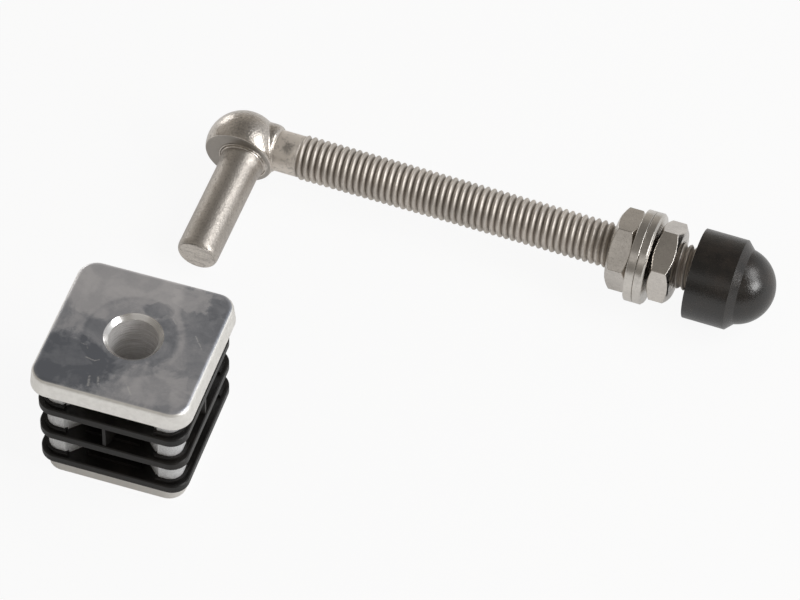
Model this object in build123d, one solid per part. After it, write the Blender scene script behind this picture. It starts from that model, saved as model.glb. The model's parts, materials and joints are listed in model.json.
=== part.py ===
from build123d import *
import math
import os

os.makedirs("parts", exist_ok=True)

# Hook bolt: one stainless forging, a round bar with a ball head, a plain pin and a threaded stud.
# Its own frame has the stud along +X, the pin along -Y and the crossing of the two axes as origin.
BAR_DIAMETER = 10.8
THREAD_DIAMETER = 11.7
HEAD_RADIUS = 9.7
HEAD_BACK = 1.5
HEAD_TO_PIN = 2.3
HEAD_FLAT = 6.0
HEAD_FLAT_EDGE = 0.35
PIN_REACH = 37.9
PIN_END_CHAMFER = 0.9
PIN_SEAT_DIAMETER = 13.6
PIN_SEAT_HEIGHT = 0.45
PIN_ROOT_FILLET = 0.8
BEAD_DIAMETER = 12.8
BEAD_END = 6.3
BEAD_ROUND = 0.9
NECK_START = 8.0
NECK_ROUND = 1.2
THREAD_START = 13.9
THREAD_RUN_IN = 0.6
STUD_END = 131.8
STUD_END_CHAMFER = 1.2

# Nuts and washers on the stud
TURN_FIT = 0.06
NUT_FLATS = 18.5
NUT_THICKNESS = 5.8
NUT_FACE_SHARE = 0.95
NUT_BEVEL = 30.0
NUT_MOUTH = 0.5
WASHER_DIAMETER = 23.8
WASHER_HOLE = 13.0
WASHER_THICKNESS = 2.3
WASHER_BEVEL = 0.5
WASHER_EDGE = 0.15
FACE_GAP = 0.05
OUTER_NUT_GAP = 0.5
CAP_TO_NUT = 4.45
INNER_NUT_TURN = -14.8
OUTER_NUT_TURN = 29.1

# End cap: one black plastic moulding, with a nut pocket in the skirt and a socket for the stud's end
CAP_DIAMETER = 23.3
STUD_IN_CAP = 11.55
CAP_SKIRT = 10.9
CAP_BEVEL_LENGTH = 1.95
DOME_RADIUS = 9.9
CAP_POCKET_FLATS = 19.2
CAP_POCKET_DEPTH = 9.0
CAP_SOCKET_SPARE = 1.45
HANG_FIT = 0.02

# Square tube insert: an aluminium casting with a plastic finned collar moulded on its column
PLATE_SIDE = 40.2
PLATE_THICKNESS = 5.25
PLATE_CORNER = 5.2
PLATE_DRAFT = 6.0
PLATE_TOP_ROUND = 1.4
PLATE_LOWER_EDGE = 0.4
BASE_SIDE = 34.7
BASE_THICKNESS = 4.4
BASE_CORNER = 4.2
BASE_EDGE = 0.4
COLUMN_SIDE = 34.0
COLUMN_CORNER = 3.4
RECESS_OPENING = 23.6
RECESS_DEPTH = 5.4
BORE_DIAMETER = 12.0
BORE_MOUTH_DIAMETER = 14.4
FIN_COUNT = 3
FIN_SIDE = 37.3
FIN_CORNER = 4.4
FIN_THICKNESS = 2.4
FIN_PITCH = 9.0
FIN_EDGE = 0.25
FIN_TO_PLATE = 6.0
WALL_THICKNESS = 1.5
COLLAR_STEP_HEIGHT = 0.9
COLLAR_STEP_WIDTH = 0.7
FOOT_WIDTH = 13.7
FOOT_REACH = 2.7
RIB_FRONT_WIDTH = 0.8
RIB_ROOT_WIDTH = 5.4
RIB_SETBACK = 0.4
RIB_OFFSET = 1.2

# How far one solid reaches into the next before they are joined or cut
OVERLAP = 0.5

# Where the two lie: the insert stands on its base at the origin, the hook bolt lies beside it
INSERT_YAW = 3.45
HOOK_X = -6.77
HOOK_Y = 90.7

BAR_RADIUS = BAR_DIAMETER / 2
THREAD_RADIUS = THREAD_DIAMETER / 2
WASHER_RADIUS = WASHER_DIAMETER / 2
CAP_RADIUS = CAP_DIAMETER / 2
CAP_START = STUD_END - STUD_IN_CAP
CAP_SOCKET_DEPTH = STUD_IN_CAP + CAP_SOCKET_SPARE
OUTER_NUT_START = CAP_START - CAP_TO_NUT - NUT_THICKNESS
OUTER_WASHER_START = OUTER_NUT_START - OUTER_NUT_GAP - WASHER_THICKNESS
INNER_WASHER_START = OUTER_WASHER_START - FACE_GAP - WASHER_THICKNESS
INNER_NUT_START = INNER_WASHER_START - FACE_GAP - NUT_THICKNESS
WASHER_DROP = WASHER_HOLE / 2 - THREAD_RADIUS - HANG_FIT

# Resting lie of the hook bolt: the ball head, the pin's end and the first washer's rim touch the floor.
# Lift is the height of the crossing of the axes, roll dips the pin and rise lifts the stud.
PIN_TOUCH = PIN_REACH - PIN_END_CHAMFER
WASHER_HANG = WASHER_RADIUS + WASHER_DROP
lift = HEAD_RADIUS
roll = 0.0
rise = 0.0
for settling in range(12):
    lift = HEAD_RADIUS + HEAD_TO_PIN * math.sin(roll) * math.cos(rise) + HEAD_BACK * math.sin(rise)
    roll = math.asin(lift / math.cos(rise) / math.hypot(PIN_TOUCH, BAR_RADIUS))
    roll = roll - math.atan2(BAR_RADIUS, PIN_TOUCH)
    rise = math.acos(lift / math.hypot(WASHER_HANG, INNER_WASHER_START))
    rise = rise - math.atan2(INNER_WASHER_START, WASHER_HANG)

stud_place = Pos(HOOK_X, HOOK_Y, lift) * Rot(0, -math.degrees(rise), 0)
hook_place = stud_place * Rot(math.degrees(roll), 0, 0)

# The cap lies on the floor, so it hangs below the stud by what the stud has risen there
CAP_DROP = lift + CAP_START * math.sin(rise) - CAP_RADIUS * math.cos(rise) - HANG_FIT
CAP_SOCKET_RADIUS = THREAD_RADIUS + CAP_DROP + HANG_FIT


def turned(points):
    """A solid turned about the X axis from a half profile of (x, radius) points."""
    face = make_face(Polyline(*reversed(points), close=True))
    return revolve(face, axis=Axis.X)


def hexagon(flats, start, length, turn):
    """A hexagonal prism along the X axis."""
    outline = Rot(0, 0, turn) * RegularPolygon(flats / 2, 6, major_radius=False)
    return extrude(Plane((start, 0, 0), x_dir=(0, 1, 0), z_dir=(1, 0, 0)) * outline, length)


def ring_edges(shape, x, radius):
    """The circular edges about the X axis at one station and radius."""
    found = shape.edges().filter_by(GeomType.CIRCLE)
    return found.filter_by(lambda e: abs(e.radius - radius) < 1e-3 and abs(e.arc_center.X - x) < 1e-3)


def make_hook_bolt():
    stud = turned([
        (0, 0),
        (0, BEAD_DIAMETER / 2),
        (BEAD_END, BEAD_DIAMETER / 2),
        (NECK_START, BAR_RADIUS),
        (THREAD_START, BAR_RADIUS),
        (THREAD_START + THREAD_RUN_IN, THREAD_RADIUS),
        (STUD_END - STUD_END_CHAMFER, THREAD_RADIUS),
        (STUD_END, THREAD_RADIUS - STUD_END_CHAMFER),
        (STUD_END, 0),
    ])
    stud = fillet(ring_edges(stud, BEAD_END, BEAD_DIAMETER / 2), BEAD_ROUND)
    stud = fillet(ring_edges(stud, NECK_START, BAR_RADIUS), NECK_ROUND)
    rim = math.sqrt(HEAD_RADIUS**2 - (HEAD_FLAT - HEAD_TO_PIN)**2)
    crown = HEAD_TO_PIN - HEAD_RADIUS
    outline = Polyline((crown, 0), (HEAD_FLAT, 0), (HEAD_FLAT, rim))
    outline = outline + ThreePointArc((HEAD_FLAT, rim), (HEAD_TO_PIN, HEAD_RADIUS), (crown, 0))
    ball = revolve(make_face(outline), axis=Axis.X)
    ball = fillet(ring_edges(ball, HEAD_FLAT, rim), HEAD_FLAT_EDGE)
    along_pin = Rot(0, 0, -90) * Rot(180, 0, 0)
    seat_face = HEAD_FLAT + PIN_SEAT_HEIGHT
    pin = turned([
        (0, 0),
        (0, PIN_SEAT_DIAMETER / 2),
        (seat_face, PIN_SEAT_DIAMETER / 2),
        (seat_face, BAR_RADIUS),
        (PIN_REACH - PIN_END_CHAMFER, BAR_RADIUS),
        (PIN_REACH, BAR_RADIUS - PIN_END_CHAMFER),
        (PIN_REACH, 0),
    ])
    pin = fillet(ring_edges(pin, seat_face, BAR_RADIUS), PIN_ROOT_FILLET)
    bolt = Pos(-HEAD_BACK, 0, 0) * along_pin * ball + along_pin * pin + stud
    return bolt


def make_nut(start, turn):
    face_radius = NUT_FACE_SHARE * NUT_FLATS / 2
    corner_radius = NUT_FLATS / math.sqrt(3) + OVERLAP
    bevel_depth = (corner_radius - face_radius) * math.tan(math.radians(NUT_BEVEL))
    bore = THREAD_RADIUS + TURN_FIT
    end = start + NUT_THICKNESS
    envelope = turned([
        (start, bore + NUT_MOUTH),
        (start, face_radius),
        (start + bevel_depth, corner_radius),
        (end - bevel_depth, corner_radius),
        (end, face_radius),
        (end, bore + NUT_MOUTH),
        (end - NUT_MOUTH, bore),
        (start + NUT_MOUTH, bore),
    ])
    return hexagon(NUT_FLATS, start, NUT_THICKNESS, turn) & envelope


def make_washer(start, outer_bevel):
    end = start + WASHER_THICKNESS
    ring = turned([
        (start, WASHER_HOLE / 2),
        (start, WASHER_RADIUS - WASHER_EDGE),
        (start + WASHER_EDGE, WASHER_RADIUS),
        (end - outer_bevel, WASHER_RADIUS),
        (end, WASHER_RADIUS - outer_bevel),
        (end, WASHER_HOLE / 2),
    ])
    return Pos(0, 0, -WASHER_DROP) * ring


def make_end_cap():
    skirt_end = CAP_START + CAP_SKIRT
    dome_start = skirt_end + CAP_BEVEL_LENGTH
    bevel_radius = math.sqrt(DOME_RADIUS**2 - CAP_BEVEL_LENGTH**2)
    tip = (skirt_end + DOME_RADIUS, 0)
    shoulder = math.radians(45)
    dome_middle = (skirt_end + DOME_RADIUS * math.cos(shoulder), DOME_RADIUS * math.sin(shoulder))
    outline = Line((CAP_START, 0), tip)
    outline = outline + ThreePointArc(tip, dome_middle, (dome_start, bevel_radius))
    outline = outline + Polyline(
        (dome_start, bevel_radius),
        (skirt_end, CAP_RADIUS),
        (CAP_START, CAP_RADIUS),
        (CAP_START, 0),
    )
    cap = revolve(make_face(outline), axis=Axis.X)
    cap = cap - hexagon(CAP_POCKET_FLATS, CAP_START, CAP_POCKET_DEPTH, 0)
    socket = turned([
        (CAP_START, 0),
        (CAP_START, CAP_SOCKET_RADIUS),
        (CAP_START + CAP_SOCKET_DEPTH, CAP_SOCKET_RADIUS),
        (CAP_START + CAP_SOCKET_DEPTH, 0),
    ])
    cap = cap - socket
    return Pos(0, 0, -CAP_DROP) * cap


def square_slab(side, corner, bottom, height):
    return Pos(0, 0, bottom) * extrude(RectangleRounded(side, side, corner), height)


def four_sides(shape):
    return [Rot(0, 0, 90 * side) * shape for side in range(4)]


PLATE_BOTTOM = BASE_THICKNESS + (FIN_COUNT - 1) * FIN_PITCH + FIN_THICKNESS + FIN_TO_PLATE
INSERT_HEIGHT = PLATE_BOTTOM + PLATE_THICKNESS
FIN_BOTTOMS = [BASE_THICKNESS + FIN_PITCH * level for level in range(FIN_COUNT)]
RECESS_FLOOR = COLUMN_SIDE / 2 - RECESS_DEPTH
WALL_FACE = RECESS_FLOOR + WALL_THICKNESS
RECESS_FLOOR_HALF = RECESS_OPENING / 2 - RECESS_DEPTH


def column_section():
    """The casting's column in plan: a rounded square with a sloped recess in each side."""
    outline = RectangleRounded(COLUMN_SIDE, COLUMN_SIDE, COLUMN_CORNER)
    far = COLUMN_SIDE / 2 + OVERLAP
    recess = make_face(Polyline(
        (-RECESS_OPENING / 2 - OVERLAP, -far),
        (-RECESS_FLOOR_HALF, -RECESS_FLOOR),
        (RECESS_FLOOR_HALF, -RECESS_FLOOR),
        (RECESS_OPENING / 2 + OVERLAP, -far),
        close=True,
    ))
    for cut in four_sides(recess):
        outline = outline - cut
    return outline


def make_insert_core():
    plate = extrude(RectangleRounded(PLATE_SIDE, PLATE_SIDE, PLATE_CORNER), PLATE_THICKNESS, taper=PLATE_DRAFT)
    plate = Pos(0, 0, PLATE_BOTTOM) * plate
    plate = fillet(plate.faces().sort_by(Axis.Z)[-1].edges(), PLATE_TOP_ROUND)
    plate = fillet(plate.faces().sort_by(Axis.Z)[0].edges(), PLATE_LOWER_EDGE)
    base = square_slab(BASE_SIDE, BASE_CORNER, 0, BASE_THICKNESS)
    base = fillet(base.faces().sort_by(Axis.Z)[0].edges(), BASE_EDGE)
    column_bottom = BASE_THICKNESS - OVERLAP
    column_top = PLATE_BOTTOM + OVERLAP
    column = Pos(0, 0, column_bottom) * extrude(column_section(), column_top - column_bottom)
    core = plate + base + column
    mouth_depth = (BORE_MOUTH_DIAMETER - BORE_DIAMETER) / 2
    drill = Cylinder(BORE_DIAMETER / 2, 3 * INSERT_HEIGHT)
    countersink = Cone(BORE_DIAMETER / 2, BORE_MOUTH_DIAMETER / 2, mouth_depth)
    top_mouth = Pos(0, 0, INSERT_HEIGHT - mouth_depth / 2) * countersink
    return core - drill - top_mouth


def make_insert_fins():
    section = column_section()
    collar = None
    for bottom in FIN_BOTTOMS:
        fin = square_slab(FIN_SIDE, FIN_CORNER, bottom, FIN_THICKNESS)
        fin = chamfer(fin.faces().sort_by(Axis.Z)[-1].edges(), FIN_EDGE)
        fin = chamfer(fin.faces().sort_by(Axis.Z)[0].edges(), FIN_EDGE)
        collar = fin if collar is None else collar + fin
        step_side = COLUMN_SIDE + 2 * COLLAR_STEP_WIDTH
        step_corner = COLUMN_CORNER + COLLAR_STEP_WIDTH
        step_bottom = bottom + FIN_THICKNESS - OVERLAP
        step = square_slab(step_side, step_corner, step_bottom, OVERLAP + COLLAR_STEP_HEIGHT)
        gap = RECESS_OPENING - 2 * COLLAR_STEP_WIDTH
        step = step - Box(gap, 2 * FIN_SIDE, 4 * INSERT_HEIGHT) - Box(2 * FIN_SIDE, gap, 4 * INSERT_HEIGHT)
        collar = collar + step
        foot_top = bottom + FIN_THICKNESS + COLLAR_STEP_HEIGHT
        foot = Pos(0, -WALL_FACE - FOOT_REACH / 2, foot_top / 2 + bottom / 2)
        foot = foot * Box(FOOT_WIDTH, FOOT_REACH, foot_top - bottom)
        for side in four_sides(foot):
            collar = collar + side
    wall_height = PLATE_BOTTOM - BASE_THICKNESS
    wall = Box(2 * WALL_FACE, 2 * WALL_FACE, wall_height)
    collar = collar + Pos(0, 0, BASE_THICKNESS + wall_height / 2) * wall
    rib_front = FIN_SIDE / 2 - RIB_SETBACK
    rib_plan = make_face(Polyline(
        (-RIB_ROOT_WIDTH / 2, -WALL_FACE + OVERLAP),
        (-RIB_FRONT_WIDTH / 2, -rib_front),
        (RIB_FRONT_WIDTH / 2, -rib_front),
        (RIB_ROOT_WIDTH / 2, -WALL_FACE + OVERLAP),
        close=True,
    ))
    rib_low, rib_high = FIN_BOTTOMS[-2] + FIN_THICKNESS, FIN_BOTTOMS[-1]
    rib = Pos(-RIB_OFFSET, 0, rib_low - OVERLAP) * extrude(rib_plan, rib_high - rib_low + 2 * OVERLAP)
    for side in four_sides(rib):
        collar = collar + side
    column = Pos(0, 0, BASE_THICKNESS) * extrude(section, wall_height)
    return collar - column


insert_place = Rot(0, 0, INSERT_YAW)

pieces = {
    "hook_bolt": hook_place * make_hook_bolt(),
    "inner_nut": stud_place * make_nut(INNER_NUT_START, INNER_NUT_TURN),
    "inner_washer": stud_place * make_washer(INNER_WASHER_START, WASHER_EDGE),
    "outer_washer": stud_place * make_washer(OUTER_WASHER_START, WASHER_BEVEL),
    "outer_nut": stud_place * make_nut(OUTER_NUT_START, OUTER_NUT_TURN),
    "end_cap": stud_place * make_end_cap(),
    "insert_core": insert_place * make_insert_core(),
    "insert_fins": insert_place * make_insert_fins(),
}

for name, piece in pieces.items():
    export_step(piece, "parts/" + name + ".step")
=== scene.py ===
"""Looks of the gate hinge: a threaded hook bolt with nuts, washers and cap, and a finned tube insert."""
import json
import math

import bmesh
import bpy
import numpy as np
from mathutils import Matrix, Vector


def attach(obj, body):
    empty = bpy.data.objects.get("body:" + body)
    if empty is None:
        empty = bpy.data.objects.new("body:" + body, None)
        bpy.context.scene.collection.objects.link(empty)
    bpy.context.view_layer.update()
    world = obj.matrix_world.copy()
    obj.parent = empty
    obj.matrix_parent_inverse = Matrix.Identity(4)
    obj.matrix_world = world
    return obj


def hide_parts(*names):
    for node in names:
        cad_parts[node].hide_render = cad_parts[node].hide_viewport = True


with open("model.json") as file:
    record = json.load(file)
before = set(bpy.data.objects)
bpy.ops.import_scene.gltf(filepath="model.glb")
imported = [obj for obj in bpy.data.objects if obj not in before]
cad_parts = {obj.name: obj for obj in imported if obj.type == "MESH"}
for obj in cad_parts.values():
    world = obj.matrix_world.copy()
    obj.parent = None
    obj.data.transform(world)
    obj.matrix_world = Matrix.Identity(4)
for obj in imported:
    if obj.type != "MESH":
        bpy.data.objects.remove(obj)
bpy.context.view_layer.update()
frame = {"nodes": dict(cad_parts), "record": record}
nodes = frame["nodes"]
mounts = {mount["name"]: mount for mount in frame["record"]["mounts"]}
MM = 0.001

# Mesh clean-up, lengths in metres
MERGE_DISTANCE = 2e-7
SHORTEST_EDGE = 1e-7
SHARP_DEGREES = 40

# Hook bolt, in millimetres from the crossing of its two axes
BAR_RADIUS = 5.4
THREAD_RADIUS = 5.85
HEAD_RADIUS = 9.7
HEAD_BACK = 1.5
HEAD_TO_PIN = 2.3
HEAD_FLAT = 6.0
HEAD_FLAT_EDGE = 0.35
PIN_REACH = 37.9
PIN_END_ROUND = (1.8, 0.95)
PIN_SEAT_RADIUS = 6.6
PIN_ROOT_RADIUS = 6.0
PIN_SEAT_HEIGHT = 0.62
PIN_FLARE_END = 10.0
PIN_MIDDLE = 22.1
BEAD_RADIUS = 6.45
BEAD_MIDDLE = 5.2
BEAD_END = 7.5
NECK_START = 8.0
THREAD_START = 13.9
THREAD_RUN_IN = 0.6
STUD_END = 131.8
STUD_END_CHAMFER = 1.2
PITCH = 1.75
THREAD_DEPTH = 1.0
THREAD_HALF_RIDGE = 0.48
THREAD_ROUNDNESS = 1.8
STUD_COLUMNS = 90

# Insert, in millimetres
INSERT_YAW = 3.45
PLATE_BOTTOM = 30.8
PLATE_TOP = 36.05
BORE_RADIUS = 6.0
BORE_MOUTH_RADIUS = 7.2

# Depth of the grain in the shading, in metres
STEEL_RELIEF = 0.0001
PLASTIC_RELIEF = 0.00006
CAST_RELIEF = 0.00005

# The photograph's camera: place and lens in millimetres, angles in degrees, near and far limits in metres
CAMERA_PLACE = (207.52, -444.64, 632.79)
CAMERA_AZIMUTH = 17.750
CAMERA_ELEVATION = 49.868
CAMERA_ROLL = 3.562
CAMERA_LENS = 147.10
CAMERA_NEAR = 0.05
CAMERA_FAR = 20

stud_axis = np.array(mounts["post_stud"]["axis"])
pin_axis = np.array(mounts["hinge_pin"]["axis"])
crossing = np.array(mounts["hinge_pin"]["pos_m"]) / MM - PIN_MIDDLE * pin_axis
hook_side = np.cross(stud_axis, pin_axis)


def ring_points(centre, axis, start, along, radius, angle):
    """Points at a distance along an axis and a radius from it, at an angle from the start direction:
    centre + along * axis + radius * (cos(angle) * start + sin(angle) * axis x start)."""
    across = np.cross(axis, start)
    spoke = np.cos(angle)[..., None] * start + np.sin(angle)[..., None] * across
    return centre + along[..., None] * axis + radius[..., None] * spoke


def grid_faces(rows, columns, shift=0):
    """Quads of a grid that closes round its columns: the last column joins the first, shift rows further on."""
    row, column = np.meshgrid(np.arange(rows - 1), np.arange(columns), indexing="ij")
    after = np.where(column == columns - 1, row + shift, row)
    near, far = row * columns + column, after * columns + (column + 1) % columns
    kept = after + 1 < rows
    return np.stack([near, far, far + columns, near + columns], -1)[kept]


def turned(centre, axis, start, profile, columns=96):
    """A surface of revolution: the profile's (along, radius) pairs carried round the axis."""
    profile = np.array(profile, float)
    angle = np.linspace(0, 2 * np.pi, columns, endpoint=False)
    along = np.repeat(profile[:, :1], columns, 1)
    radius = np.repeat(profile[:, 1:], columns, 1)
    points = ring_points(centre, axis, start, along, radius, np.broadcast_to(angle, along.shape))
    return points.reshape(-1, 3), grid_faces(len(profile), columns)


def arc(middle, radius, first, last, count):
    """Points of a circular arc in a profile, from one angle to another in degrees."""
    angle = np.radians(np.linspace(first, last, count))
    return np.stack([middle[0] + radius * np.cos(angle), middle[1] + radius * np.sin(angle)], 1)


def thread_height(phase):
    """Height of the thread over its root, 0 to 1, along one pitch: a broad round ridge with a narrow root between
    one ridge and the next, 1 - (distance from the crest / half the ridge) ** roundness."""
    from_crest = np.abs((phase + 0.5) % 1.0 - 0.5)
    return 1 - np.clip(from_crest / THREAD_HALF_RIDGE, 0, 1) ** THREAD_ROUNDNESS


def threaded(centre, axis, start, columns):
    """The stud's thread as a grid whose rows run along the helix, so its crests are unbroken:
    along = start of thread + pitch * (row's phase + angle / full turn), clipped to the stud, and
    radius = root + depth * height(phase), faded in from the neck and cut by the end's chamfer."""
    steps = np.array([-0.48, -0.42, -0.34, -0.24, -0.12, 0.0, 0.12, 0.24, 0.34, 0.42, 0.48])
    turns = np.arange(-2, math.ceil((STUD_END - THREAD_START) / PITCH) + 2)
    phase = (turns[:, None] + steps[None, :]).reshape(-1, 1)
    angle = np.linspace(0, 2 * np.pi, columns, endpoint=False)[None, :]
    along = np.clip(THREAD_START + PITCH * (phase + angle / (2 * np.pi)), THREAD_START, STUD_END)
    height = THREAD_RADIUS - THREAD_DEPTH * (1 - thread_height(phase + 0 * angle))
    fade = np.clip((along - THREAD_START) / THREAD_RUN_IN, 0, 1)
    radius = BAR_RADIUS + (height - BAR_RADIUS) * fade * fade * (3 - 2 * fade)
    radius = np.minimum(radius, THREAD_RADIUS - STUD_END_CHAMFER + (STUD_END - along))
    points = ring_points(centre, axis, start, along, radius, angle + 0 * phase)
    return points.reshape(-1, 3), grid_faces(len(phase), columns, shift=len(steps))


def joined(name, parts):
    """One mesh object from several grids given in millimetres, with doubles merged and faces turned outwards."""
    starts = np.cumsum([0] + [len(points) for points, _ in parts])
    points = np.concatenate([points for points, _ in parts]) * MM
    faces = np.concatenate([faces + first for (_, faces), first in zip(parts, starts)])
    mesh = bpy.data.meshes.new(name)
    mesh.from_pydata(points.tolist(), [], faces.tolist())
    work = bmesh.new()
    work.from_mesh(mesh)
    bmesh.ops.remove_doubles(work, verts=work.verts, dist=MERGE_DISTANCE)
    bmesh.ops.dissolve_degenerate(work, dist=SHORTEST_EDGE, edges=work.edges)
    bmesh.ops.recalc_face_normals(work, faces=work.faces)
    work.to_mesh(mesh)
    work.free()
    mesh.shade_smooth()
    mesh.set_sharp_from_angle(angle=math.radians(SHARP_DEGREES))
    made = bpy.data.objects.new(name, mesh)
    bpy.context.scene.collection.objects.link(made)
    return made


def make_forging():
    """The hook bolt with its real thread: a flat-bottomed ball and a pin turned about the pin's axis,
    and a bead, neck and thread turned about the stud's axis."""
    rim_angle = math.degrees(math.acos((HEAD_FLAT - HEAD_TO_PIN) / HEAD_RADIUS))
    rim = HEAD_RADIUS * math.sin(math.radians(rim_angle))
    ball_middle = crossing - HEAD_BACK * stud_axis
    ball = np.concatenate([
        arc((HEAD_TO_PIN, 0), HEAD_RADIUS, 180, rim_angle + 2.5, 48),
        [(HEAD_FLAT - 0.1, rim - 0.08), (HEAD_FLAT, rim - HEAD_FLAT_EDGE), (HEAD_FLAT, 0)],
    ])
    seat = HEAD_FLAT + PIN_SEAT_HEIGHT
    flare = np.linspace(0, 1, 12)
    flare_radius = BAR_RADIUS + (PIN_ROOT_RADIUS - 0.18 - BAR_RADIUS) * (0.5 + 0.5 * np.cos(np.pi * flare))
    pin = np.concatenate([
        # The seat's step, with its edge rounded, and the groove inside it
        [(0, 0), (0, PIN_SEAT_RADIUS), (HEAD_FLAT + 0.2, PIN_SEAT_RADIUS)],
        [(HEAD_FLAT + 0.29, PIN_SEAT_RADIUS - 0.05), (HEAD_FLAT + 0.32, PIN_SEAT_RADIUS - 0.14)],
        [(HEAD_FLAT + 0.30, PIN_SEAT_RADIUS - 0.30), (HEAD_FLAT + 0.08, PIN_ROOT_RADIUS + 0.16)],
        [(HEAD_FLAT + 0.06, PIN_ROOT_RADIUS + 0.05), (HEAD_FLAT + 0.14, PIN_ROOT_RADIUS)],
        # The pin's root, its flare down to the bar and its rounded end
        [(seat - 0.14, PIN_ROOT_RADIUS - 0.02), (seat - 0.04, PIN_ROOT_RADIUS - 0.08)],
        np.stack([seat + (PIN_FLARE_END - seat) * flare, flare_radius], 1),
        arc((0, 0), 1.0, 90, 0, 9) * PIN_END_ROUND + (PIN_REACH - PIN_END_ROUND[0], BAR_RADIUS - PIN_END_ROUND[1]),
        [(PIN_REACH, 0)],
    ])
    sweep = np.linspace(0, 1, 15)
    bead_radius = BAR_RADIUS + (BEAD_RADIUS - BAR_RADIUS) * np.sqrt(np.clip(1 - sweep ** 2, 0, 1))
    neck = np.concatenate([
        [(0, 0), (0, BEAD_RADIUS)],
        np.stack([BEAD_MIDDLE + (BEAD_END - BEAD_MIDDLE) * sweep, bead_radius], 1),
        [(BEAD_END + 0.4, BAR_RADIUS - 0.02), (NECK_START, BAR_RADIUS), (THREAD_START, BAR_RADIUS)],
    ])
    end = [(STUD_END, THREAD_RADIUS - STUD_END_CHAMFER), (STUD_END, 0)]
    return joined("hook_forging", [
        turned(ball_middle, pin_axis, stud_axis, ball),
        turned(crossing, pin_axis, stud_axis, pin),
        turned(crossing, stud_axis, hook_side, neck, STUD_COLUMNS),
        threaded(crossing, stud_axis, hook_side, STUD_COLUMNS),
        turned(crossing, stud_axis, hook_side, end, STUD_COLUMNS),
    ])


class Wire:
    """An output socket of a material. Arithmetic on wires adds Math nodes."""

    def __init__(self, tree, socket):
        self.tree = tree
        self.socket = socket

    def _math(self, operation, first, second):
        return self.tree.node("ShaderNodeMath", {"operation": operation}, {0: first, 1: second})

    def __add__(self, other):
        return self._math("ADD", self, other)

    def __radd__(self, other):
        return self._math("ADD", other, self)

    def __sub__(self, other):
        return self._math("SUBTRACT", self, other)

    def __rsub__(self, other):
        return self._math("SUBTRACT", other, self)

    def __mul__(self, other):
        return self._math("MULTIPLY", self, other)

    def __rmul__(self, other):
        return self._math("MULTIPLY", other, self)

    def __truediv__(self, other):
        return self._math("DIVIDE", self, other)

    def __pow__(self, other):
        return self._math("POWER", self, other)

    def clamped(self):
        return self.tree.node("ShaderNodeClamp", None, {"Value": self})

    def most(self, other):
        return self._math("MAXIMUM", self, other)


class Tree:
    """A node tree, with one way in for any node: its settings first, then its sockets."""

    def __init__(self, tree):
        self.tree = tree
        tree.nodes.clear()

    def node(self, kind, settings=None, sockets=None, out=0):
        made = self.tree.nodes.new(kind)
        for name, value in (settings or {}).items():
            if name == "stops":
                ramp = made.color_ramp
                for _ in range(len(value) - 2):
                    ramp.elements.new(0.5)
                for element, (place, colour) in zip(ramp.elements, value):
                    element.position = place
                    element.color = (*colour, 1)
            else:
                setattr(made, name, value)
        for name, value in (sockets or {}).items():
            if isinstance(value, Wire):
                self.tree.links.new(value.socket, made.inputs[name])
            else:
                made.inputs[name].default_value = value
        return Wire(self, made.outputs[out])

    def place(self, turn=(0, 0, 0), stretch=(1, 1, 1)):
        """Object coordinates in millimetres, stretched and then turned."""
        base = self.node("ShaderNodeTexCoord", out="Object")
        scale = [share / MM for share in stretch]
        sockets = {"Vector": base, "Rotation": turn, "Scale": scale}
        return self.node("ShaderNodeMapping", {"vector_type": "POINT"}, sockets)

    def parts(self, vector):
        """The three numbers of a vector."""
        split = self.node("ShaderNodeSeparateXYZ", None, {0: vector}).socket.node
        return [Wire(self, output) for output in split.outputs]

    def noise(self, vector, scale, detail=2.0, rough=0.5, distortion=0.0):
        sockets = {"Vector": vector, "Scale": scale, "Detail": detail, "Roughness": rough, "Distortion": distortion}
        return self.node("ShaderNodeTexNoise", None, sockets, "Fac")

    def patch(self, x, y, middle, reach, soft=0.5):
        """1 in an ellipse about a middle, falling to 0 at its reach: the fall takes the soft share of the radius."""
        far = (((x - middle[0]) / reach[0]) ** 2 + ((y - middle[1]) / reach[1]) ** 2) ** 0.5
        return 1 - self.step(far, 1 - soft, 1.0)

    def scratch(self, x, y, first, last, width):
        """1 along the line between two points, falling to 0 at its width."""
        run = (last[0] - first[0], last[1] - first[1])
        length = run[0] ** 2 + run[1] ** 2
        share = ((x - first[0]) * (run[0] / length) + (y - first[1]) * (run[1] / length)).clamped()
        off_x, off_y = x - first[0] - share * run[0], y - first[1] - share * run[1]
        return 1 - self.step((off_x * off_x + off_y * off_y) ** 0.5, 0.3 * width, width)

    def ramp(self, value, stops):
        return self.node("ShaderNodeValToRGB", {"stops": stops}, {0: value})

    def step(self, value, low, high):
        """0 below low, 1 above high, smooth between."""
        settings = {"interpolation_type": "SMOOTHSTEP"}
        return self.node("ShaderNodeMapRange", settings, {"Value": value, "From Min": low, "From Max": high})

    def mix(self, share, first, second):
        """A colour mix, share 0 giving the first colour."""
        colours = [c if isinstance(c, Wire) else (*c, 1) for c in (first, second)]
        return self.node("ShaderNodeMix", {"data_type": "RGBA"}, {0: share, 6: colours[0], 7: colours[1]}, 2)

    def bump(self, height, distance, strength=1.0, normal=None):
        sockets = {"Height": height, "Distance": distance, "Strength": strength}
        if normal is not None:
            sockets["Normal"] = normal
        return self.node("ShaderNodeBump", None, sockets)

    def surface(self, shader):
        output = self.tree.nodes.new("ShaderNodeOutputMaterial")
        self.tree.links.new(shader.socket, output.inputs["Surface"])


def new_material(name):
    material = bpy.data.materials.new(name)
    material.use_nodes = True
    return material, Tree(material.node_tree)


def dress(target, material):
    """Gives a piece its only material."""
    target.data.materials.clear()
    target.data.materials.append(material)


def shade(tone, share):
    """A colour made darker or lighter by a share."""
    return [share * c for c in tone]


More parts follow.
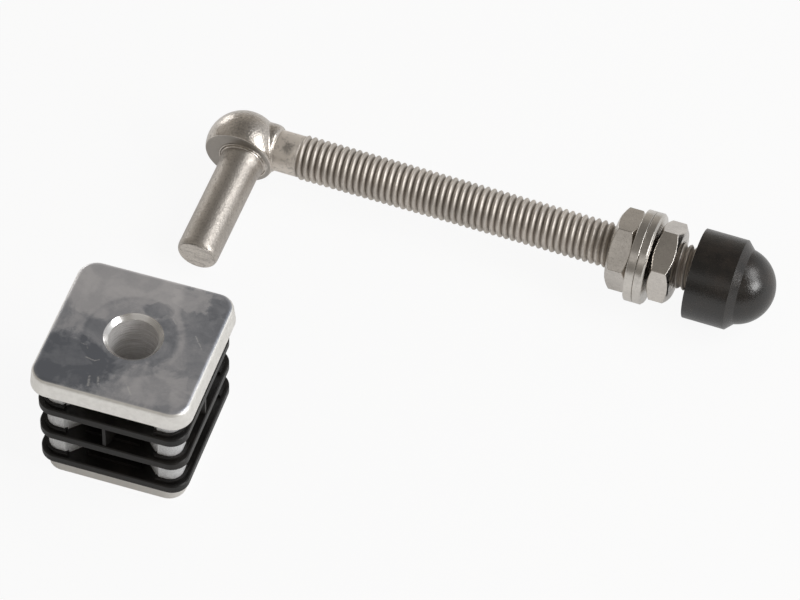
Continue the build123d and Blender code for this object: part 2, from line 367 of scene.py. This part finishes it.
def steel_grain(tree, here, tone, speckle):
    """The tone, speckle and dents that tumbling leaves on stainless steel: a warm drift in the tone, with darker and
    lighter grains of about half a millimetre, as strong as the speckle."""
    speck = tree.noise(here, 1.8, 4.0, 0.75)
    dent = tree.noise(here, 0.6, 2.0, 0.5)
    drift = tree.step(tree.noise(here, 0.12, 3.0, 0.6), 0.32, 0.68)
    colour = tree.mix(drift, shade(tone, 0.90), shade(tone, 1.07))
    colour = tree.mix(tree.step(speck, 0.52, 0.66) * speckle, colour, shade(tone, 0.50))
    colour = tree.mix((1 - tree.step(speck, 0.34, 0.46)) * speckle, colour, shade(tone, 1.25))
    return colour, speck, dent


def tumbled_steel(name, tone, rough, grain, edge):
    """Tumbled stainless steel for the small pieces, with the corners rounded off by the edge in the shading."""
    material, tree = new_material(name)
    colour, speck, dent = steel_grain(tree, tree.place(), tone, 0.28)
    rounded = tree.node("ShaderNodeBevel", {"samples": 8}, {"Radius": edge * MM})
    normal = tree.bump(grain * (speck + dent), STEEL_RELIEF, 1.0, rounded)
    steel = tree.node("ShaderNodeBsdfPrincipled", None, {
        "Base Color": colour, "Metallic": 1.0, "Roughness": rough + 0.20 * (speck - 0.5) + 0.12 * (dent - 0.5),
        "Normal": normal})
    tree.surface(steel)
    return material


def forged_steel(name, tone):
    """The hook's stainless steel, finished differently along it: a polished ball, a dull flat under it darkened by
    painted shade, a grainy pin with facing marks on its end, a stained neck and a burnished thread with painted shade
    in its roots."""
    material, tree = new_material(name)
    here = tree.place()
    from_crossing = tree.node("ShaderNodeVectorMath", {"operation": "SUBTRACT"}, {0: here, 1: tuple(crossing)})
    along_stud, along_pin, aside = [
        tree.node("ShaderNodeVectorMath", {"operation": "DOT_PRODUCT"}, {0: from_crossing, 1: tuple(axis)}, 1)
        for axis in (stud_axis, pin_axis, hook_side)]
    on_pin = tree.step(along_pin, HEAD_FLAT + 0.4, HEAD_FLAT + 1.2)
    on_flat = tree.step(along_pin, HEAD_FLAT - 0.25, HEAD_FLAT - 0.10)
    on_flat = on_flat * (1 - tree.step(along_pin, HEAD_FLAT + 0.05, HEAD_FLAT + 0.2))
    on_end = tree.step(along_pin, PIN_REACH - 0.3, PIN_REACH - 0.1)
    on_thread = tree.step(along_stud, THREAD_START - 0.3, THREAD_START + 0.2)
    on_neck = tree.step(along_stud, BEAD_END - 0.2, BEAD_END + 0.5) * (1 - on_thread)
    by_bead = tree.step(along_stud, 2.5, 4.0) * (1 - tree.step(along_stud, 8.5, 9.5))
    by_bead = by_bead * (1 - tree.step(along_pin, 5.0, 5.5))
    # Painted shade in the thread's roots, between one ridge and the next: darker towards the root
    root_painted_shade = on_thread * (1 - tree.step((along_pin * along_pin + aside * aside) ** 0.5, 4.95, 5.45))
    speckle = 0.85 - 0.10 * on_pin - 0.65 * on_flat - 0.70 * on_thread
    colour, speck, dent = steel_grain(tree, here, tone, speckle)
    smear = tree.noise(here, 0.55, 4.0, 0.65, 0.8)
    colour = tree.mix(on_pin * 0.35 * (1 - on_end), colour, shade(tone, 0.50))
    colour = tree.mix(on_neck, colour, shade(tone, 1.36))
    # Painted shade on the flat under the ball: its colour darkened
    colour = tree.mix(on_flat * 0.62, colour, shade(tone, 0.38))
    # Painted shade: the thread's roots darkened
    colour = tree.mix(root_painted_shade * 0.35, colour, shade(tone, 0.30))
    stain = tree.patch(along_stud + 1.2 * (smear - 0.5), along_pin + 1.4 * (smear - 0.5), (11.2, 2.0), (1.9, 2.1), 0.75)
    stain = stain * tree.step(0 - aside, 0.0, 1.0) * (0.45 + 0.55 * tree.step(speck, 0.38, 0.52))
    stain = (stain + tree.step(smear, 0.50, 0.68) * 0.55).clamped() * on_neck
    colour = tree.mix(stain * 0.80, colour, shade(tone, 0.42))
    stretched = tree.noise(tree.place(stretch=(0.22, 1, 1)), 0.8, 3.0, 0.6, 0.8)
    colour = tree.mix(on_end * tree.step(stretched, 0.50, 0.62) * 0.35, colour, shade(tone, 0.45))
    plain = tree.node("ShaderNodeNewGeometry", out="Normal")
    rounded = tree.node("ShaderNodeBevel", {"samples": 8}, {"Radius": 0.35 * MM})
    rounded = tree.node("ShaderNodeMix", {"data_type": "VECTOR"}, {0: by_bead, 4: plain, 5: rounded}, 1)
    roughness = 0.23 + 0.16 * on_pin + 0.24 * on_neck + 0.28 * on_thread + 0.15 * on_flat
    roughness = roughness + 0.26 * (speck - 0.5) + 0.12 * (dent - 0.5)
    pebble = tree.noise(here, 2.1, 1.0, 0.4)
    height = (0.5 * speck + pebble * (0.60 - 0.10 * on_pin)) * (1 - 0.85 * on_thread) * (1 - 0.85 * on_flat)
    height = height + 0.9 * smear * on_neck + 5.0 * stretched * on_end
    steel = tree.node("ShaderNodeBsdfPrincipled", None, {
        "Base Color": colour, "Metallic": 1 - 0.35 * on_neck, "Roughness": roughness,
        "Normal": tree.bump(height, STEEL_RELIEF, 1.0, rounded)})
    tree.surface(steel)
    return material


def black_plastic(name, tone, dust, rough, grain_scale, grain, shine):
    """Moulded black plastic: a fine leathery grain, a thin gloss and brownish dust in clouds and specks."""
    material, tree = new_material(name)
    here = tree.place()
    fine = tree.noise(here, grain_scale, 3.0, 0.65)
    broad = tree.noise(here, 0.16, 3.0, 0.6)
    colour = tree.mix(tree.step(broad, 0.40, 0.75) * 0.6, tone, dust)
    colour = tree.mix(tree.step(fine, 0.58, 0.70) * 0.7, colour, dust)
    roughness = rough + 0.14 * (broad - 0.5) + 0.20 * (fine - 0.5)
    normal = tree.bump(fine, PLASTIC_RELIEF, grain)
    plastic = tree.node("ShaderNodeBsdfPrincipled", None, {
        "Base Color": colour, "Roughness": roughness, "Normal": normal, "Specular IOR Level": shine})
    tree.surface(plastic)
    return material


def plate_tone(tree, here, x, y):
    """How light the plate's face is, 0 to 1: handling stains in patches with ragged edges, the broad lighter patch at
    the back-left being a painted reflection, a ring pressed round the bore, and cloudy mottling."""
    ragged = tree.noise(here, 0.45, 5.0, 0.65)
    sway = tree.noise(here, 0.16, 3.0, 0.6, 0.6)
    u = x + 5.0 * (ragged - 0.5) + 9.0 * (sway - 0.5)
    v = y - 6.0 * (ragged - 0.5) + 8.0 * (sway - 0.5)
    cloud = tree.noise(here, 0.11, 5.0, 0.6, 1.4)
    fine = tree.noise(here, 1.4, 3.0, 0.7)
    tone = 0.46 + 0.20 * (tree.step(cloud, 0.36, 0.64) - 0.5) + 0.22 * (ragged - 0.5) + 0.16 * (fine - 0.5)
    # Lighter and darker stains; the first, broad lighter patch at the back-left is a painted reflection
    stains_and_reflection = [
        (0.30, (-8.0, 13.0), (17.0, 12.0), 0.22), (0.18, (9.5, 15.0), (6.0, 4.0), 0.25),
        (-0.40, (-12.5, -11.5), (13.5, 9.5), 0.30), (0.16, (9.5, -12.5), (10.0, 7.0), 0.3),
        (-0.12, (14.5, 7.5), (6.0, 6.5), 0.30), (-0.16, (17.0, 15.0), (4.0, 3.5), 0.3),
    ]
    for strength, middle, reach, soft in stains_and_reflection:
        tone = tone + strength * tree.patch(u, v, middle, reach, soft)
    tone = tone - 0.26 * tree.patch(0.6 * u + 0.4 * x, 0.6 * v + 0.4 * y, (2.8, 9.4), (3.6, 2.6), 0.25)
    far = (x * x + y * y) ** 0.5 + 0.9 * (ragged - 0.5)
    inside = 1 - tree.step(far, 11.7, 12.8)
    tone = tone - 0.15 * inside - 0.08 * tree.step(far, 10.6, 11.9) * inside * (1 - tree.step(x, -2.0, 4.0))
    crescent = tree.step(far, 9.6, 11.6) * inside * tree.step(x, 4.0, 8.0) * tree.step(y, -9.0, -3.0)
    return tone + 0.34 * crescent


def plate_scratches(tree, here, x, y):
    """The bright nicks on the plate's face: short lines, broken and of uneven strength."""
    lines = [
        ((-11.0, -5.8), (-9.6, -5.9), 0.20), ((-9.6, -5.9), (-9.0, -6.8), 0.18), ((-8.4, -9.4), (-6.2, -9.8), 0.24),
        ((-6.2, -9.8), (-5.2, -9.2), 0.20), ((-5.6, -14.6), (-5.0, -17.2), 0.42), ((-3.6, -14.2), (-2.9, -16.2), 0.38),
        ((13.8, 4.8), (16.4, 1.6), 0.22), ((7.0, 8.2), (8.2, 6.8), 0.20), ((3.4, -14.0), (5.4, -16.6), 0.30),
    ]
    mask = None
    for first, last, width in lines:
        line = tree.scratch(x, y, first, last, width)
        mask = line if mask is None else mask.most(line)
    return mask * tree.step(tree.noise(here, 1.3, 3.0, 0.7), 0.32, 0.62)


def cast_aluminium(name):
    """The insert's casting: stained and scratched on the plate's face, with a painted reflection at its back-left,
    burnished on the plate's rim, matt and grainy on the column and base, bright on the bore's countersink and ringed by
    the drill below it, with painted shade deeper down the bore."""
    material, tree = new_material(name)
    here = tree.place(turn=(0, 0, -math.radians(INSERT_YAW)))
    x, y, z = tree.parts(here)
    far = (x * x + y * y) ** 0.5
    grain = tree.noise(here, 2.4, 2.0, 0.6)
    smear = tree.noise(here, 0.5, 4.0, 0.6)
    height_only = tree.node("ShaderNodeCombineXYZ", None, {"X": x * 0.04, "Y": y * 0.04, "Z": z})
    rings = tree.noise(height_only, 4.0, 3.0, 0.75)
    on_plate = tree.step(z, PLATE_BOTTOM - 0.1, PLATE_BOTTOM + 0.1)
    on_face = tree.step(z, PLATE_TOP - 0.40, PLATE_TOP - 0.15)
    in_bore = 1 - tree.step(far, BORE_MOUTH_RADIUS - 0.05, BORE_MOUTH_RADIUS + 0.05)
    on_mouth = in_bore * tree.step(far, BORE_RADIUS + 0.02, BORE_RADIUS + 0.10)
    # Painted shade deeper down the bore, darker towards its bottom
    painted_bore_shade = in_bore * (1 - tree.step(z, 6.0, PLATE_TOP - 8.0))
    tone = plate_tone(tree, here, x, y)
    nicks = plate_scratches(tree, here, x, y)
    face = tree.ramp(tone, [
        (0.05, (0.26, 0.28, 0.325)), (0.35, (0.47, 0.49, 0.54)),
        (0.60, (0.70, 0.705, 0.745)), (0.95, (0.90, 0.895, 0.925)),
    ])
    face = tree.mix(nicks * 0.55, face, (0.92, 0.92, 0.91))
    rim = tree.mix(tree.step(smear, 0.35, 0.65), (0.90, 0.885, 0.85), (0.98, 0.965, 0.93))
    cast = tree.mix(tree.step(grain, 0.3, 0.7), (0.70, 0.71, 0.725), (0.86, 0.865, 0.87))
    cast = tree.mix(1 - tree.step(z, 4.0, 4.6), cast, (0.76, 0.74, 0.71))
    drilled = tree.mix(tree.step(rings, 0.42, 0.60), (0.76, 0.745, 0.735), (1.0, 0.99, 0.985))
    # Painted shade: the lower bore darkened
    drilled = tree.mix(painted_bore_shade * 0.45, drilled, (0.36, 0.31, 0.26))
    drilled = tree.mix(on_mouth, drilled, (0.74, 0.73, 0.72))
    colour = tree.mix(on_plate, cast, tree.mix(on_face, rim, face))
    colour = tree.mix(in_bore, colour, drilled)
    metallic = 1 - (in_bore - on_mouth) * 0.70 - ((1 - on_plate) * 0.45 + on_face * 0.22) * (1 - in_bore)
    roughness = 0.60 - on_plate * 0.14 - on_face * 0.10 + 0.10 * (tone - 0.5) * on_face - in_bore * 0.18
    height = grain * (1.0 - 0.5 * on_plate) + 0.7 * smear * on_plate * (1 - on_face) - 0.6 * nicks * on_face
    height = height * (1 - in_bore) + 6.5 * rings * (in_bore - on_mouth)
    normal = tree.bump(height, CAST_RELIEF, 1.0)
    metal = tree.node("ShaderNodeBsdfPrincipled", None, {
        "Base Color": colour, "Metallic": metallic, "Roughness": roughness, "Normal": normal})
    tree.surface(metal)
    return material


forging = make_forging()
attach(forging, "hook")
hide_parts("hook_bolt")
dress(forging, forged_steel("hook_steel", (0.66, 0.615, 0.565)))
nut_steel = tumbled_steel("nut_steel", (0.66, 0.625, 0.585), rough=0.25, grain=0.14, edge=0.38)
washer_steel = tumbled_steel("washer_steel", (0.68, 0.65, 0.61), rough=0.23, grain=0.10, edge=0.28)
cap_plastic = black_plastic(
    "cap_plastic", tone=(0.0040, 0.0030, 0.0024), dust=(0.034, 0.024, 0.018),
    rough=0.26, grain_scale=2.0, grain=0.8, shine=0.85)
collar_plastic = black_plastic(
    "collar_plastic", tone=(0.0055, 0.0050, 0.0046), dust=(0.020, 0.0165, 0.0135),
    rough=0.44, grain_scale=2.0, grain=0.5, shine=0.40)
for name in ("inner_nut", "outer_nut"):
    dress(nodes[name], nut_steel)
for name in ("inner_washer", "outer_washer"):
    dress(nodes[name], washer_steel)
dress(nodes["end_cap"], cap_plastic)
dress(nodes["insert_fins"], collar_plastic)
dress(nodes["insert_core"], cast_aluminium("cast_aluminium"))

# Floor: mostly white to the camera and partly in mirrors, with a share of plain shading that keeps the shadow
FLOOR_REACH = 4
FLOOR_SEEN = 0.92
FLOOR_MIRRORED = 0.42
floor_mesh = bpy.data.meshes.new("floor")
floor_corners = [(x * FLOOR_REACH, y * FLOOR_REACH, 0) for x, y in ((-1, -1), (1, -1), (1, 1), (-1, 1))]
floor_mesh.from_pydata(floor_corners, [], [(0, 1, 2, 3)])
floor = bpy.data.objects.new("floor", floor_mesh)
bpy.context.scene.collection.objects.link(floor)
material, tree = new_material("floor_white")
matt = tree.node("ShaderNodeBsdfDiffuse", None, {"Color": (0.90, 0.90, 0.90, 1)})
glow = tree.node("ShaderNodeEmission", None, {"Color": (1, 1, 1, 1), "Strength": 1.0})
path = tree.node("ShaderNodeLightPath").socket.node
seen = Wire(tree, path.outputs["Is Camera Ray"])
mirrored = Wire(tree, path.outputs["Is Glossy Ray"]) + Wire(tree, path.outputs["Is Transmission Ray"])
share = seen * FLOOR_SEEN + mirrored * FLOOR_MIRRORED
tree.surface(tree.node("ShaderNodeMixShader", None, {0: share, 1: matt, 2: glow}))
dress(floor, material)

# World: white behind the object, with a share of that white in mirrors, and a studio that darkens upwards
WORLD_MIRRORED = 0.10
WARM = np.array((1.06, 1.0, 0.92))
PLAIN = np.ones(3)


def studio_tone(level, tint):
    """A tone of the studio, less the white that mirrors add: (level * tint - share) / (1 - share)."""
    return (level * tint - WORLD_MIRRORED) / (1 - WORLD_MIRRORED)


def studio_ramp(tree, up, stops, tint):
    """The studio's tone by height, from (height, level) pairs."""
    return tree.ramp(up, [(height, studio_tone(level, tint)) for height, level in stops])


world = bpy.data.worlds.new("studio")
bpy.context.scene.world = world
world.use_nodes = True
tree = Tree(world.node_tree)
path = tree.node("ShaderNodeLightPath").socket.node
direction = tree.node("ShaderNodeTexCoord", out="Generated")
across, depth, up = tree.parts(direction)
behind = studio_ramp(tree, up, [(0.0, 0.44), (0.3, 0.40), (0.75, 0.20), (0.88, 0.21), (1.0, 0.16)], WARM)
bright = studio_ramp(tree, up, [(0.0, 0.70), (0.3, 0.62), (0.75, 0.46), (0.88, 0.34), (1.0, 0.18)], PLAIN)
before = studio_ramp(tree, up, [(0.0, 0.30), (0.14, 0.20), (0.30, 0.22), (0.50, 0.37), (0.85, 0.22)], WARM)
studio = tree.mix(tree.step(across, -0.10, 0.55), behind, bright)
studio = tree.mix(tree.step(0 - across, 0.35, 0.80), studio, studio_tone(0.40, WARM))
studio = tree.mix(tree.step(depth, -0.2, 0.25), before, studio)
seen = Wire(tree, path.outputs["Is Camera Ray"]) + Wire(tree, path.outputs["Is Transmission Ray"])
white = seen + WORLD_MIRRORED * Wire(tree, path.outputs["Is Glossy Ray"])
tone = tree.mix(white.clamped(), studio, (1, 1, 1))
background = tree.node("ShaderNodeBackground", None, {"Color": tone, "Strength": 1.0})
output = world.node_tree.nodes.new("ShaderNodeOutputWorld")
world.node_tree.links.new(background.socket, output.inputs["Surface"])


def lamp(name, place, aim, width, height, watts):
    """A soft rectangular lamp at a place, turned to its aim, sizes in metres."""
    data = bpy.data.lights.new(name, "AREA")
    data.shape = "RECTANGLE"
    data.size, data.size_y, data.energy = width, height, watts
    made = bpy.data.objects.new(name, data)
    bpy.context.scene.collection.objects.link(made)
    made.location = place
    made.rotation_mode = "QUATERNION"
    made.rotation_quaternion = (Vector(aim) - Vector(place)).to_track_quat("-Z", "Y")


LAMP_AIM = (0.05, 0.05, 0.01)
lamp("high_softbox", (0.62, 0.26, 0.68), LAMP_AIM, width=0.44, height=0.36, watts=1.8)
lamp("right_softbox", (0.85, -0.05, 0.44), LAMP_AIM, width=0.34, height=0.28, watts=2.6)
lamp("left_softbox", (-0.70, 0.72, 0.10), LAMP_AIM, width=0.36, height=0.14, watts=0.60)
lamp("front_softbox", (-0.02, -0.62, 0.62), LAMP_AIM, width=0.80, height=0.34, watts=0.20)

# Camera at the photograph's viewing angle
azimuth, elevation = math.radians(CAMERA_AZIMUTH), math.radians(CAMERA_ELEVATION)
back = Vector((
    math.sin(azimuth) * math.cos(elevation),
    -math.cos(azimuth) * math.cos(elevation),
    math.sin(elevation),
))
right = Vector((math.cos(azimuth), math.sin(azimuth), 0))
level = Matrix((right, back.cross(right), back)).transposed().to_4x4()
camera_data = bpy.data.cameras.new("camera")
camera_data.lens = CAMERA_LENS
camera_data.clip_start, camera_data.clip_end = CAMERA_NEAR, CAMERA_FAR
camera = bpy.data.objects.new("camera", camera_data)
bpy.context.scene.collection.objects.link(camera)
camera.matrix_world = (
    Matrix.Translation(Vector(CAMERA_PLACE) * MM) @ level @ Matrix.Rotation(math.radians(CAMERA_ROLL), 4, "Z")
)
bpy.context.scene.camera = camera
bpy.context.scene.view_settings.view_transform = "Standard"
